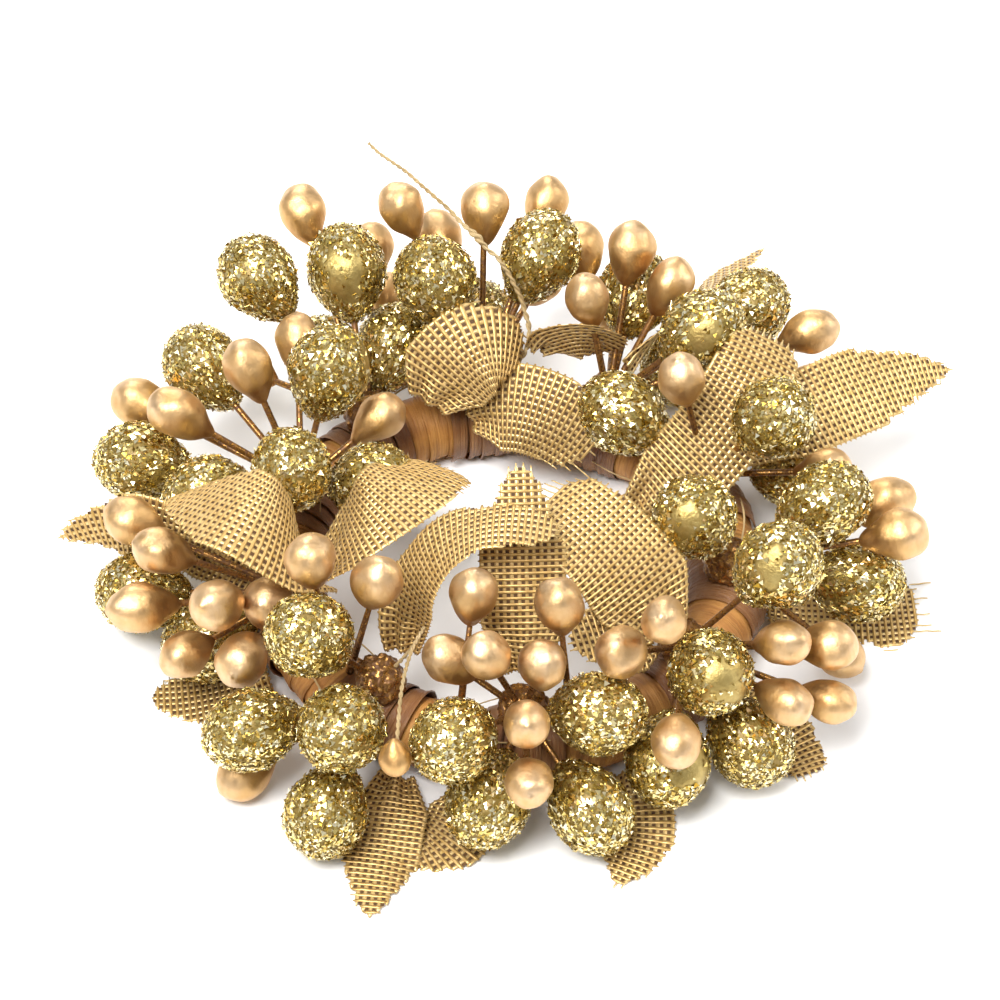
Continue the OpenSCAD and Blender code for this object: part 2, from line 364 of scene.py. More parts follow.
# ---- finishes ----


@dataclass(frozen=True)
class FlakeFinish:
    """Loose metallic glitter, each flake with its own tone."""

    dark: Triple = (0.36, 0.22, 0.03)
    body: Triple = (0.68, 0.54, 0.19)
    pale: Triple = (0.96, 0.90, 0.66)
    stops: Triple = (0.1, 0.5, 0.95)
    roughness: float = 0.26

    def material(self) -> bpy.types.Material:
        """Builds the material.

        Returns:
            The material.
        """
        shader = Shader("glitter_flakes")
        shader.set(Metallic=1.0, Roughness=self.roughness)
        stops = list(zip(self.stops, (self.dark, self.body, self.pale)))
        colour = shader.ramp(shader.attribute("tone"), stops)
        shader.join(colour, shader.surface.inputs["Base Color"])
        return shader.material


@dataclass(frozen=True)
class GroundFinish:
    """The painted foam under the glitter: its paint shows on bare patches, and between flakes it is dark with
    painted shade.
    """

    # Dark painted shade that the foam shows between the flakes.
    between_flake_shade: Triple = (0.22, 0.145, 0.03)
    shade: Triple = (0.30, 0.21, 0.06)
    paint: Triple = (0.50, 0.38, 0.14)
    stain_scale: float = 420.0
    pit_scale: float = 1500.0
    pit_depth: float = 0.00012
    metallic: tuple[float, float] = (0.3, 0.85)
    roughness: float = 0.38

    def material(self) -> bpy.types.Material:
        """Builds the material.

        Returns:
            The material.
        """
        shader = Shader("glitter_ground")
        shader.set(Roughness=self.roughness)
        worn = shader.blend(shader.mask("grain", self.stain_scale), self.shade, self.paint)
        bare = shader.attribute("tone")
        # Where the glitter stays, the foam takes the painted shade; on a bare spot, its own paint.
        shader.join(shader.blend(bare, self.between_flake_shade, worn), shader.surface.inputs["Base Color"])
        shader.join(shader.between(bare, *self.metallic), shader.surface.inputs["Metallic"])
        shader.bump(shader.mask("grain", self.pit_scale), self.pit_depth, 0.5)
        return shader.material


@dataclass(frozen=True)
class SatinFinish:
    """Champagne lacquer, paler with painted light at a pearl's crown and browner with painted shade at its
    neck.
    """

    # Painted shade at the neck, the lacquer's own colour in the body, painted light at the crown.
    neck: Triple = (0.30, 0.12, 0.025)
    body: Triple = (0.58, 0.36, 0.15)
    crown: Triple = (0.70, 0.51, 0.32)
    stops: Triple = (0.0, 0.4, 1.0)
    mottle_scale: float = 330.0
    scuff_scale: float = 1100.0
    scuff_stretch: Triple = (1.0, 1.0, 0.4)
    scuff_depth: float = 0.0001
    roughness: tuple[float, float] = (0.36, 0.58)

    def material(self) -> bpy.types.Material:
        """Builds the material.

        Returns:
            The material.
        """
        shader = Shader("lacquer_painted_light_and_shade")
        shader.set(Metallic=1.0)
        stops = list(zip(self.stops, (self.neck, self.body, self.crown)))
        # The ramp paints shade at the neck and light at the crown.
        lacquer = shader.ramp(shader.attribute("along"), stops)
        worn = shader.blend(shader.mask("grain", self.mottle_scale), self.body, lacquer)
        shader.join(worn, shader.surface.inputs["Base Color"])
        scuff = shader.mask("grain", self.scuff_scale, self.scuff_stretch)
        shader.join(shader.between(scuff, *self.roughness), shader.surface.inputs["Roughness"])
        shader.bump(scuff, self.scuff_depth, 0.4)
        return shader.material


@dataclass(frozen=True)
class YarnFinish:
    """Flat metallic yarn, or the dark patches of painted shade that sit in the holes between the yarns."""

    name: str
    shade: Triple
    light: Triple
    metallic: float
    roughness: float
    slub_scale: float = 900.0

    def material(self) -> bpy.types.Material:
        """Builds the material.

        Returns:
            The material.
        """
        shader = Shader(self.name)
        shader.set(Metallic=self.metallic, Roughness=self.roughness)
        colour = shader.blend(shader.mask("grain", self.slub_scale), self.shade, self.light)
        shader.join(colour, shader.surface.inputs["Base Color"])
        return shader.material


@dataclass(frozen=True)
class FibreFinish:
    """Plant fibre with streaks along its strips."""

    name: str
    shade: Triple
    light: Triple
    roughness: float
    streaks: float = 9.0
    streak_stretch: Triple = (1.0, 0.05, 1.0)
    streak_depth: float = 0.0003
    stain_scale: float = 160.0

    def material(self) -> bpy.types.Material:
        """Builds the material.

        Returns:
            The material.
        """
        shader = Shader(self.name)
        shader.set(Roughness=self.roughness)
        streak = shader.mask("grain", self.streaks, self.streak_stretch, "strip")
        base = shader.blend(shader.mask("grain", self.stain_scale), self.shade, self.light)
        shader.join(shader.blend(streak, self.shade, base), shader.surface.inputs["Base Color"])
        shader.bump(streak, self.streak_depth, 0.8)
        return shader.material


@dataclass(frozen=True)
class TapeFinish:
    """Copper-brown floral tape with glitter dust on it."""

    shade: Triple = (0.08, 0.03, 0.008)
    light: Triple = (0.19, 0.08, 0.02)
    dust: Triple = (0.33, 0.17, 0.048)
    dust_scale: float = 2600.0
    dust_depth: float = 0.00025
    stain_scale: float = 500.0
    metallic: tuple[float, float] = (0.35, 0.9)
    roughness: tuple[float, float] = (0.5, 0.25)

    def material(self) -> bpy.types.Material:
        """Builds the material.

        Returns:
            The material.
        """
        shader = Shader("stem_tape")
        speck = shader.mask("speckle", self.dust_scale)
        base = shader.blend(shader.mask("grain", self.stain_scale), self.shade, self.light)
        shader.join(shader.blend(speck, base, self.dust), shader.surface.inputs["Base Color"])
        shader.join(shader.between(speck, *self.metallic), shader.surface.inputs["Metallic"])
        shader.join(shader.between(speck, *self.roughness), shader.surface.inputs["Roughness"])
        shader.bump(speck, self.dust_depth, 0.8)
        return shader.material


@dataclass(frozen=True)
class WireFinish:
    """Plain drawn steel wire."""

    shade: Triple = (0.25, 0.24, 0.22)
    light: Triple = (0.40, 0.39, 0.37)
    drawing_scale: float = 800.0
    roughness: tuple[float, float] = (0.3, 0.5)

    def material(self) -> bpy.types.Material:
        """Builds the material.

        Returns:
            The material.
        """
        shader = Shader("drawn_wire")
        shader.set(Metallic=1.0)
        mask = shader.mask("grain", self.drawing_scale)
        shader.join(shader.blend(mask, self.shade, self.light), shader.surface.inputs["Base Color"])
        shader.join(shader.between(mask, *self.roughness), shader.surface.inputs["Roughness"])
        return shader.material


# ---- berries ----


@dataclass(frozen=True)
class Seat:
    """Where one berry of the frame sits, in millimetres."""

    middle: Vector
    axis: Vector
    reach: float


def solids_of(node: str) -> list[np.ndarray]:
    """Splits a CAD node into its separate solids.

    Args:
        node: The node's name.

    Returns:
        For each solid, its triangles as an array of corners in millimetres.
    """
    bm = bmesh.new()
    bm.from_mesh(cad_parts[node].data)
    bmesh.ops.remove_doubles(bm, verts=bm.verts, dist=MERGE_GAP * MM)
    waiting = set(bm.verts)
    solids = []
    while waiting:
        start = waiting.pop()
        faces = set()
        edge = [start]
        while edge:
            vert = edge.pop()
            faces.update(vert.link_faces)
            near = {link.other_vert(vert) for link in vert.link_edges} & waiting
            waiting -= near
            edge.extend(near)
        solids.append(np.array([[corner.co / MM for corner in face.verts] for face in faces]))
    bm.free()
    solids.sort(key=lambda corners: tuple(corners.mean(axis=(0, 1)).round(3)))
    return solids


def seat_of(corners: np.ndarray, wide: float) -> Seat:
    """Finds the axis of an egg-shaped solid.

    Args:
        corners: The solid's triangles.
        wide: Radius of its wide end.

    Returns:
        The middle of its wide end, its axis towards that end, and how far it reaches the other way.
    """
    a, b, c = corners[:, 0], corners[:, 1], corners[:, 2]
    volume = np.einsum("ij,ij->i", a, np.cross(b, c)) / 6.0
    total = volume.sum()
    centroid = ((a + b + c) * volume[:, None]).sum(axis=0) / (4.0 * total)
    a, b, c = a - centroid, b - centroid, c - centroid
    volume = np.einsum("ij,ij->i", a, np.cross(b, c)) / 6.0
    whole = a + b + c
    spread = sum(np.einsum("i,ij,ik->jk", volume, v, v) for v in (a, b, c, whole)) / 20.0
    axis = np.linalg.eigh(spread)[1][:, -1]
    along = (corners.reshape(-1, 3) - centroid) @ axis
    if along.max() > -along.min():
        axis, along = -axis, -along
    middle = centroid + axis * (along.max() - wide)
    return Seat(Vector(middle), Vector(axis), float(along.max() - along.min() - wide))


@dataclass(frozen=True)
class EggForm:
    """An egg: round at its far end, drawn out to a narrower neck at the other.

    Attributes:
        wide: Radius of its wide end.
        taper: Share of its width that it loses towards the neck.
        lumps: Depth of its lumps, as a share of its size.
        lump_size: Size of a lump.
        thin: Range of its width one way, as a share of wide.
        oval: Range of its width the other way.
        crown: Range of its height over the wide end's middle.
        draw_power: How late towards the neck it narrows.
    """

    wide: float
    taper: float
    lumps: float
    lump_size: float
    thin: tuple[float, float] = (0.9, 0.98)
    oval: tuple[float, float] = (0.93, 1.0)
    crown: tuple[float, float] = (1.06, 1.2)
    draw_power: float = 1.6

    def point(self, way: Vector, neck: float, seed: int) -> Vector:
        """Finds the surface point in one direction from the egg's middle.

        Args:
            way: Unit direction, with +Z towards the far end.
            neck: Distance from the middle to the neck's end.
            seed: Number of the berry, which sets its lumps.

        Returns:
            The point in the egg's own frame.
        """
        chance = random.Random(seed * 31 + 7)
        thin, oval, crown = (chance.uniform(*span) for span in (self.thin, self.oval, self.crown))
        draw, reach = 1.0, self.wide * crown
        if way.z < 0:
            draw, reach = 1.0 - self.taper * (-way.z) ** self.draw_power, neck
        shape = Vector((way.x * self.wide * thin * draw, way.y * self.wide * oval * draw, way.z * reach))
        return shape * (1.0 + self.lumps * lump(shape, self.lump_size, seed))


@dataclass(frozen=True)
class BarePatch:
    """A spot on a berry that the glitter missed.

    Attributes:
        node: The frame's node that the berry belongs to.
        near: Place on the wreath near the berry's middle.
        towards: Direction from the berry's middle to the spot.
        spread: Half of the angle that the spot covers, in radians.
        reach: How far from the place the berry's middle may be, in millimetres.
        ragged: Depth and size of the coarse and of the fine bites in the spot's edge.
    """

    node: str
    near: Triple
    towards: Triple
    spread: float
    reach: float = 4.0
    ragged: tuple[tuple[float, float], ...] = ((0.5, 2.2), (0.35, 0.9))

    def covers(self, node: str, middle: Vector, way: Vector, seed: int) -> bool:
        """Tells whether a direction from a berry's middle lies in the spot.

        Args:
            node: The berry's node.
            middle: The berry's middle.
            way: Unit direction from it.
            seed: The berry's number, which sets the spot's edge.

        Returns:
            True inside the spot.
        """
        if node != self.node or (place(self.near) - middle).length >= self.reach:
            return False
        edge = 1.0 + sum(depth * lump(way * 6.0, size, seed) for depth, size in self.ragged)
        return way.angle(Vector(self.towards).normalized()) < self.spread * edge


@dataclass
class GlitterBerries:
    """The glitter berries of one spray.

    Attributes:
        node: The frame's node that holds the berries.
        finishes: The painted foam, dark with painted shade between the flakes, and the flakes.
        patches: The wreath's bare spots.
        form: The berries' shape.
        detail: Subdivisions of the sphere that gives the core and the flakes.
        core_inset: How far the core stays behind the neck's end.
        core_lumps: Depth and size of the core's lumps.
        bare_rise: How far the paint stands out on a bare spot.
        flake_lift: Least and greatest lift of a flake over the core.
        flake_scale: Least and greatest size of a flake, in faces of the sphere.
        flake_tilt: Spread of a flake's tilt, in radians.
        flake_thickness: Thickness of a flake.
        flake_tone: Middle and spread of a flake's tone.
        missing: Share of the places where no flake sticks.
        holding: Share of the flakes past which one holds on even to a bare spot.
    """

    node: str
    finishes: list[bpy.types.Material]
    patches: list[BarePatch]
    form: EggForm = EggForm(wide=5.6, taper=0.36, lumps=0.04, lump_size=4.5)
    detail: int = 5
    core_inset: float = 0.2
    core_lumps: tuple[float, float] = (0.13, 0.7)
    bare_rise: float = 0.1
    flake_lift: tuple[float, float] = (0.04, 0.36)
    flake_scale: tuple[float, float] = (1.0, 2.05)
    flake_tilt: float = 0.6
    flake_thickness: float = 0.03
    flake_tone: tuple[float, float] = (0.5, 0.26)
    missing: float = 0.44
    holding: float = 0.93

    def build(self, first_seed: int) -> bpy.types.Object:
        """Builds the spray's berries as one piece.

        Args:
            first_seed: Number of the spray's first berry.

        Returns:
            The piece.
        """
        bm = bmesh.new()
        tone = bm.verts.layers.float.new("tone")
        for number, solid in enumerate(solids_of(self.node)):
            self.berry(bm, tone, seat_of(solid, GLITTER_WIDE), first_seed + number)
        plates = [face for face in bm.faces if face.material_index == 1]
        bmesh.ops.solidify(bm, geom=plates, thickness=self.flake_thickness)
        bmesh.ops.recalc_face_normals(bm, faces=bm.faces)
        piece = finished(bm, f"{self.node}_coat", self.finishes)
        return entered(piece, ROOT, [self.node])

    def bare(self, seat: Seat, way: Vector, seed: int) -> bool:
        """Tells whether the glitter is missing in a direction from a berry's middle."""
        return any(patch.covers(self.node, seat.middle, way, seed) for patch in self.patches)

    def berry(self, bm: bmesh.types.BMesh, tone: object, seat: Seat, seed: int) -> None:
        """Adds one berry: a painted core and the flakes stuck on it.

        Args:
            bm: The spray's shape.
            tone: The layer that holds each flake's tone.
            seat: Where the berry sits.
            seed: The berry's number.
        """
        turn = seat.axis.to_track_quat("Z", "Y")
        neck = seat.reach - self.core_inset
        depth, size = self.core_lumps
        core = bmesh.ops.create_icosphere(bm, subdivisions=self.detail, radius=1.0)["verts"]
        for vert in core:
            way = vert.co.normalized()
            shape = self.form.point(way, neck, seed)
            bare = self.bare(seat, turn @ way, seed)
            # A tone of 0 gives the core the painted shade between flakes, and 1 the plain paint of a bare
            # spot.
            vert[tone] = 1.0 if bare else 0.0
            shape += way * (self.bare_rise if bare else depth * lump(shape, size, seed))
            vert.co = seat.middle + turn @ shape
        for face in {face for vert in core for face in vert.link_faces}:
            face.smooth = True
        self.flakes(bm, tone, seat, turn, neck, seed)

    def flakes(
        self, bm: bmesh.types.BMesh, tone: object, seat: Seat, turn: Quaternion, neck: float, seed: int
    ) -> None:
        """Adds one berry's flakes, each a loose plate that is lifted, tilted and toned by chance.

        Args:
            bm: The spray's shape.
            tone: The layer that holds each flake's tone.
            seat: Where the berry sits.
            turn: The berry's turn from upright.
            neck: Distance from its middle to its neck.
            seed: The berry's number.
        """
        chance = random.Random(seed)
        spin = Quaternion((chance.random(), chance.random(), chance.random(), chance.random())).normalized()
        plates = bmesh.ops.create_icosphere(bm, subdivisions=self.detail, radius=1.0)["verts"]
        faces = list({face for vert in plates for face in vert.link_faces})
        faces.sort(key=lambda face: tuple(round(value, 5) for value in face.calc_center_median()))
        bmesh.ops.split_edges(bm, edges=list({edge for vert in plates for edge in vert.link_edges}))
        dropped = []
        for face in faces:
            way = (spin @ face.calc_center_median()).normalized()
            draws = [chance.random() for _ in range(6)]
            held = draws[1] > self.holding
            if draws[0] < self.missing or not held and self.bare(seat, turn @ way, seed):
                dropped.append(face)
                continue
            middle = self.form.point(way, neck, seed)
            low, high = self.flake_lift
            middle += way * (low + (high - low) * draws[1] ** 2)
            small, large = self.flake_scale
            grow = small + (large - small) * draws[2] ** 2
            across = Vector((draws[3] - 0.5, draws[4] - 0.5, draws[5] - 0.5)).normalized()
            tilt = Quaternion(across, chance.gauss(0.0, self.flake_tilt))
            value = min(1.0, max(0.0, chance.gauss(*self.flake_tone)))
            for vert in face.verts:
                rim = self.form.point((spin @ vert.co).normalized(), neck, seed)
                offset = rim - self.form.point(way, neck, seed)
                vert.co = seat.middle + turn @ (middle + tilt @ (offset * grow))
                vert[tone] = value
            face.material_index = 1
            face.smooth = False
        bmesh.ops.delete(bm, geom=dropped, context="FACES")


@dataclass
class PearlBerries:
    """The satin pearls of one spray, or one posable pearl with its stem.

    Attributes:
        node: The frame's node that holds the pearls.
        finishes: The lacquer, and the stem's tape for a posable pearl.
        body: The body that they ride on.
        form: The pearls' shape.
        detail: Subdivisions of the sphere that gives a pearl.
        longest_neck: Greatest distance from a pearl's middle to its neck.
        growth: Range of a pearl's size.
        flattening: Range of the crown's extra height, as a share.
        nub: Range of the size of the drip at the crown's top.
        nub_focus: How narrow that drip is.
        stem_radius: Radius of the stem at its middle.
        stem_taper: Radius of the stem at its foot and at its head, in middle radii.
        stem_overlap: How much of the reach the pearl itself covers.
    """

    node: str
    finishes: list[bpy.types.Material]
    body: str = ROOT
    form: EggForm = EggForm(wide=3.55, taper=0.5, lumps=0.085, lump_size=2.6)
    detail: int = 5
    longest_neck: float = 5.6
    growth: tuple[float, float] = (0.9, 1.04)
    flattening: tuple[float, float] = (-0.08, 0.05)
    nub: tuple[float, float] = (0.0, 0.18)
    nub_focus: float = 60.0
    stem_radius: float = 0.45
    stem_taper: tuple[float, float] = (1.25, 0.8)
    stem_overlap: float = 4.5

    def build(self, first_seed: int) -> bpy.types.Object:
        """Builds the pearls as one piece.

        Args:
            first_seed: Number of the first pearl.

        Returns:
            The piece.
        """
        bm = bmesh.new()
        along = bm.verts.layers.float.new("along")
        for number, solid in enumerate(solids_of(self.node)):
            seat = seat_of(solid, PEARL_WIDE)
            self.pearl(bm, along, seat, first_seed + number)
            if self.body != ROOT:
                self.stem(bm, seat)
        piece = finished(bm, f"{self.node}_lacquer", self.finishes)
        return entered(piece, self.body, [self.node])

    def pearl(self, bm: bmesh.types.BMesh, along: object, seat: Seat, seed: int) -> None:
        """Adds one pearl, a little different from the next in size, lumps and crown.

        Args:
            bm: The piece's shape.
            along: The layer that holds the place between the neck and the crown.
            seat: Where the pearl sits.
            seed: The pearl's number.
        """
        chance = random.Random(seed * 13 + 5)
        grow, flat, nub = (chance.uniform(*span) for span in (self.growth, self.flattening, self.nub))
        turn = seat.axis.to_track_quat("Z", "Y")
        neck = min(seat.reach, self.longest_neck)
        verts = bmesh.ops.create_icosphere(bm, subdivisions=self.detail, radius=1.0)["verts"]
        for vert in verts:
            way = vert.co.normalized()
            shape = self.form.point(way, neck, seed) * grow
            if way.z > 0:
                shape.z *= 1.0 + flat
                shape += UPWARD * nub * max(0.0, 1.0 - (1.0 - way.z) * self.nub_focus)
            vert.co = seat.middle + turn @ shape
            # The place between neck and crown, which the lacquer turns into painted shade and painted light.
            vert[along] = 0.5 + 0.5 * way.z
        for face in {face for vert in verts for face in vert.link_faces}:
            face.smooth = True

    def stem(self, bm: bmesh.types.BMesh, seat: Seat) -> None:
        """Adds the wrapped wire under a posable pearl.

        Args:
            bm: The piece's shape.
            seat: Where the pearl and its stem sit.
        """
        length = seat.reach - self.stem_overlap
        turn = seat.axis.to_track_quat("Z", "Y").to_matrix().to_4x4()
        foot = seat.middle - seat.axis * seat.reach
        centre = foot + seat.axis * length / 2.0
        made = bmesh.ops.create_cone(
            bm,
            cap_ends=True,
            segments=12,
            radius1=self.stem_radius * self.stem_taper[0],
            radius2=self.stem_radius * self.stem_taper[1],
            depth=length,
            matrix=Matrix.Translation(centre) @ turn,
        )["verts"]
        for face in {face for vert in made for face in vert.link_faces}:
            face.material_index = 1
            face.smooth = True


# ---- ribbon leaves ----

# Steps that a leaf's middle line is measured in.
LINE_STEPS = 60

# The cloth's ripples: how fast they run along it, how they slant, and what is left of them in its middle.
RIPPLE_RATE = 0.42
RIPPLE_SLANT = 1.9
RIPPLE_CALM = 0.3

# Its cupped edges: the width over their sag, and how soon along the leaf the sag is full.
CUP_RATIO = 12.0
CUP_RATE = 3.0

# The creases where it is gathered: their height in millimetres, and how close they are.
CREASE_HEIGHT = 1.1
CREASE_RATE = 7.0

# Longest loose ends of the lengthways and of the crossing yarns for a fray of 1, in millimetres.
LONG_END = 2.4
SIDE_END = 1.8

# How far past the cut a yarn still counts as inside it: lengthways, at the tip, crossing, and as to width.
WARP_SLACK = 0.2
TIP_SLACK = 0.3
WEFT_SLACK = 0.15
WIDTH_SLACK = 0.1

# Cloth woven beyond the cut, for the loose ends: across, along, and along for a fray of 1.
SPARE_ACROSS = 0.6
SPARE_ALONG = 1.6
SPARE_FRAY = 2.2


@dataclass
class RibbonLeaf:
    """A leaf cut from woven metallic ribbon, with its middle line drawn from foot to tip.

    Attributes:
        name: The frame's node that it stands for.
        foot: Place on the wreath of the middle line's foot.
        pull: The place that the middle line is pulled towards.
        tip: Place of its tip.
        width: Width of the flat cut.
        roll: Turn of the cloth about the middle line at the foot and at the tip, in degrees.
        tip_share: Width left at the tip before it is rounded, as a share of the width.
        held: How the foot is held; not used.
        fray: How far the lengthways yarns stick out past the cut.
        side_fray: How far the crossing yarns stick out past it.
        cup: How far the edges sag.
        ripple: Height of the ripples.
        across: Distance between two lengthways yarns.
        along: Distance between two crossing yarns.
        warp_share: Width of a lengthways yarn, as a share of that distance.
        weft_share: Width of a crossing yarn, in the same way.
        loose_share: Width of a yarn past the cut, as a share of its own.
        wave: How far a yarn rises and sinks at a crossing.
        thickness: Thickness of a yarn.
        hole_shade_overlap: How far the dark patches of painted shade in the holes reach under the yarns, as a
            share of their distance.
        hole_shade_thickness: Thickness of those patches of painted shade.
        narrow_from: Share of the length where the cut starts to narrow.
        round_from: Share of the length where its tip starts to round off.
        tip_rounding: How much of the tip is rounded off, from 0 to 1.
        pinched: Share of the width that is left at the foot.
        pinch_rate: How fast the width comes back from there.
        length: Length of the middle line.
        steps: Distance along it at each of its points.
    """

    name: str
    foot: Triple
    pull: Triple
    tip: Triple
    width: float
    roll: tuple[float, float]
    tip_share: float
    held: str = "gathered"
    fray: float = 0.4
    side_fray: float = 0.25
    cup: float = 0.5
    ripple: float = 0.35
    across: float = 0.98
    along: float = 0.83
    warp_share: float = 0.57
    weft_share: float = 0.50
    loose_share: float = 0.35
    wave: float = 0.045
    thickness: float = 0.05
    hole_shade_overlap: float = 0.06
    hole_shade_thickness: float = 0.01
    narrow_from: float = 0.6
    round_from: float = 0.86
    tip_rounding: float = 0.8
    pinched: float = 0.45
    pinch_rate: float = 2.2
    length: float = field(init=False)
    steps: list[float] = field(init=False)

    def __post_init__(self) -> None:
        """Measures the leaf's middle line."""
        points = [self.middle(index / LINE_STEPS) for index in range(LINE_STEPS + 1)]
        self.steps = [0.0]
        for before, after in zip(points, points[1:]):
            self.steps.append(self.steps[-1] + (after - before).length)
        self.length = self.steps[-1]

    def middle(self, t: float) -> Vector:
        """The point at the share t of the curve."""
        foot, pull, tip = place(self.foot), place(self.pull), place(self.tip)
        return (1 - t) ** 2 * foot + 2 * t * (1 - t) * pull + t * t * tip

    def heading(self, t: float) -> Vector:
        """The direction along the leaf at the share t of the curve."""
        foot, pull, tip = place(self.foot), place(self.pull), place(self.tip)
        return ((1 - t) * (pull - foot) + t * (tip - pull)).normalized()

    def share_at(self, run: float) -> float:
        """Finds the share of the curve at a distance along it.

        Args:
            run: The distance from the foot.

        Returns:
            The share, from 0 to 1.
        """
        if run <= 0.0:
            return 0.0
        for index in range(LINE_STEPS):
            if self.steps[index + 1] >= run:
                step = self.steps[index + 1] - self.steps[index]
                return (index + (run - self.steps[index]) / step) / LINE_STEPS
        return 1.0

    def half_width(self, run: float) -> float:
        """Finds half of the cut width at a distance along the leaf, before it is gathered.

        Args:
            run: The distance from the foot.

        Returns:
            Half of the width.
        """
        t = run / self.length
        if t < self.narrow_from:
            return self.width / 2.0
        narrowed = (1.0 - self.tip_share) * (t - self.narrow_from) / (1.0 - self.narrow_from)
        rounded = max(0.0, (t - self.round_from) / (1.0 - self.round_from))
        curve = math.sqrt(max(0.0, 1.0 - self.tip_rounding * rounded**2))
        return self.width / 2.0 * max(0.0, 1.0 - narrowed) * curve

    def gather(self, run: float) -> float:
        """How much of its flat width the cloth keeps where it is pinched at the foot."""
        return min(1.0, self.pinched + self.pinch_rate * max(0.0, run / self.length))

    def cloth_point(self, run: float, aside: float, rise: float) -> Vector:
        """Finds a point of the cloth.

        Args:
            run: Distance along the leaf.
            aside: Distance from its middle line, before it is gathered.
            rise: Height over the cloth's middle layer.

        Returns:
            The point in millimetres.
        """
        t = self.share_at(run)
        along = self.heading(t)
        flat = along.cross(UPWARD).normalized()
        up = flat.cross(along)
        angle = math.radians(self.roll[0] + (self.roll[1] - self.roll[0]) * t)
        side = math.cos(angle) * flat + math.sin(angle) * up
        face = side.cross(along)
        share = aside / self.width * 2.0
        seed = len(self.name)
        sag = self.cup * share * share * self.width / CUP_RATIO * min(1.0, t * CUP_RATE)
        swell = RIPPLE_CALM + (1.0 - RIPPLE_CALM) * abs(share)
        wave = self.ripple * math.sin(run * RIPPLE_RATE + share * RIPPLE_SLANT + seed) * swell
        over = max(0.0, run - self.length) + min(0.0, run)
        pinch = self.gather(run)
        crease = (1.0 - pinch) * CREASE_HEIGHT * math.cos(share * CREASE_RATE)
        point = self.middle(t) + along * over + side * aside * pinch
        return point + face * (rise - sag + wave + crease)

    def yarns(self, bm: bmesh.types.BMesh, lengthways: bool, chance: random.Random) -> None:
        """Adds one family of yarns, each passing over and under the other family.

        Args:
            bm: The leaf's shape.
            lengthways: True for the yarns along the leaf, False for those across it.
            chance: The leaf's own random numbers.
        """
        columns, rows = self.counts()
        yarns, crossings = (columns, rows) if lengthways else (rows, columns)
        wide, deep = 2 * yarns - 1, 2 * crossings
        made = bmesh.ops.create_grid(bm, x_segments=wide, y_segments=deep, size=0.5)["verts"]
        faces = list({face for vert in made for face in vert.link_faces})
        spots = {vert: (round((vert.co.x + 0.5) * wide), round((vert.co.y + 0.5) * deep)) for vert in made}
        ends = [(chance.uniform(0.0, 1.0), chance.uniform(0.0, 1.0)) for _ in range(yarns)]
        gone = []
        for face in faces:
            cells = [spots[vert] for vert in face.verts]
            left = min(cell[0] for cell in cells)
            step = sum(cell[1] for cell in cells) / len(cells) / 2.0
            yarn = left // 2
            if left % 2:
                gone.append(face)
                continue
            if lengthways:
                aside, run = (yarn - (yarns - 1) / 2.0) * self.across, step * self.along
                spare = self.fray * LONG_END * ends[yarn][0] ** 2
                late = run > self.length + TIP_SLACK + spare
                outside = late or self.half_width(run - spare) + WARP_SLACK < abs(aside)
            else:
                aside, run = (step - crossings / 2.0) * self.across, (yarn + 0.5) * self.along
                spare = self.side_fray * SIDE_END * ends[yarn][0 if aside < 0 else 1] ** 2
                outside = run > self.length or self.half_width(run) + WEFT_SLACK + spare < abs(aside)
            if outside:
                gone.append(face)
            face.material_index = 0 if lengthways else 1
        for vert in made:
            column, row = spots[vert]
            yarn, edge = column // 2, (column % 2) - 0.5
            over = 0.0 if row % 2 else (1.0 if (yarn + row // 2) % 2 == 0 else -1.0)
            if lengthways:
                run, aside = row / 2.0 * self.along, (yarn - (yarns - 1) / 2.0) * self.across
                beyond = abs(aside) > self.half_width(run) + WARP_SLACK or run > self.length
                aside += edge * self.warp_share * self.across * (self.loose_share if beyond else 1.0)
            else:
                over = -over
                run, aside = (yarn + 0.5) * self.along, (row / 2.0 - crossings / 2.0) * self.across
                beyond = abs(aside) > self.half_width(run) + WIDTH_SLACK
                run += edge * self.weft_share * self.along * (self.loose_share if beyond else 1.0)
            vert.co = self.cloth_point(run, aside, over * self.wave)
        bmesh.ops.delete(bm, geom=gone, context="FACES")

    def counts(self) -> tuple[int, int]:
        """How many yarns run along the leaf and how many cross it, with their loose ends."""
        columns = int((self.width + 2.0 * self.side_fray + SPARE_ACROSS) / self.across)
        return columns, int((self.length + SPARE_ALONG + SPARE_FRAY * self.fray) / self.along)

    def hole_shade_patches(self, material: bpy.types.Material) -> bpy.types.Object:
        """Builds the dark patches of painted shade that fill the holes between the yarns.

        Args:
            material: Their finish.

        Returns:
            The piece.
        """
        bm = bmesh.new()
        columns, rows = self.counts()
        wide, deep = 2 * (columns - 1) - 1, 2 * (rows - 1) - 1
        made = bmesh.ops.create_grid(bm, x_segments=wide, y_segments=deep, size=0.5)["verts"]
        spots = {vert: (round((vert.co.x + 0.5) * wide), round((vert.co.y + 0.5) * deep)) for vert in made}
        gone = []
        for face in bm.faces:
            left = min(spots[vert][0] for vert in face.verts)
            low = min(spots[vert][1] for vert in face.verts)
            aside = (left // 2 + 0.5 - (columns - 1) / 2.0) * self.across
            run = (low // 2 + 1.0) * self.along
            outside = run > self.length or abs(aside) > self.half_width(run) - WIDTH_SLACK
            if left % 2 or low % 2 or outside:
                gone.append(face)
        for vert in made:
            column, row = spots[vert]
            aside = (column // 2 + 0.5 - (columns - 1) / 2.0) * self.across
            run = (row // 2 + 1.0) * self.along
            aside += ((column % 2) - 0.5) * (1.0 + self.hole_shade_overlap - self.warp_share) * self.across
            run += ((row % 2) - 0.5) * (1.0 + self.hole_shade_overlap - self.weft_share) * self.along
            vert.co = self.cloth_point(run, aside, 0.0)
        bmesh.ops.delete(bm, geom=gone, context="FACES")
        bmesh.ops.solidify(bm, geom=list(bm.faces), thickness=self.hole_shade_thickness)
        return finished(bm, f"{self.name}_ground", [material])

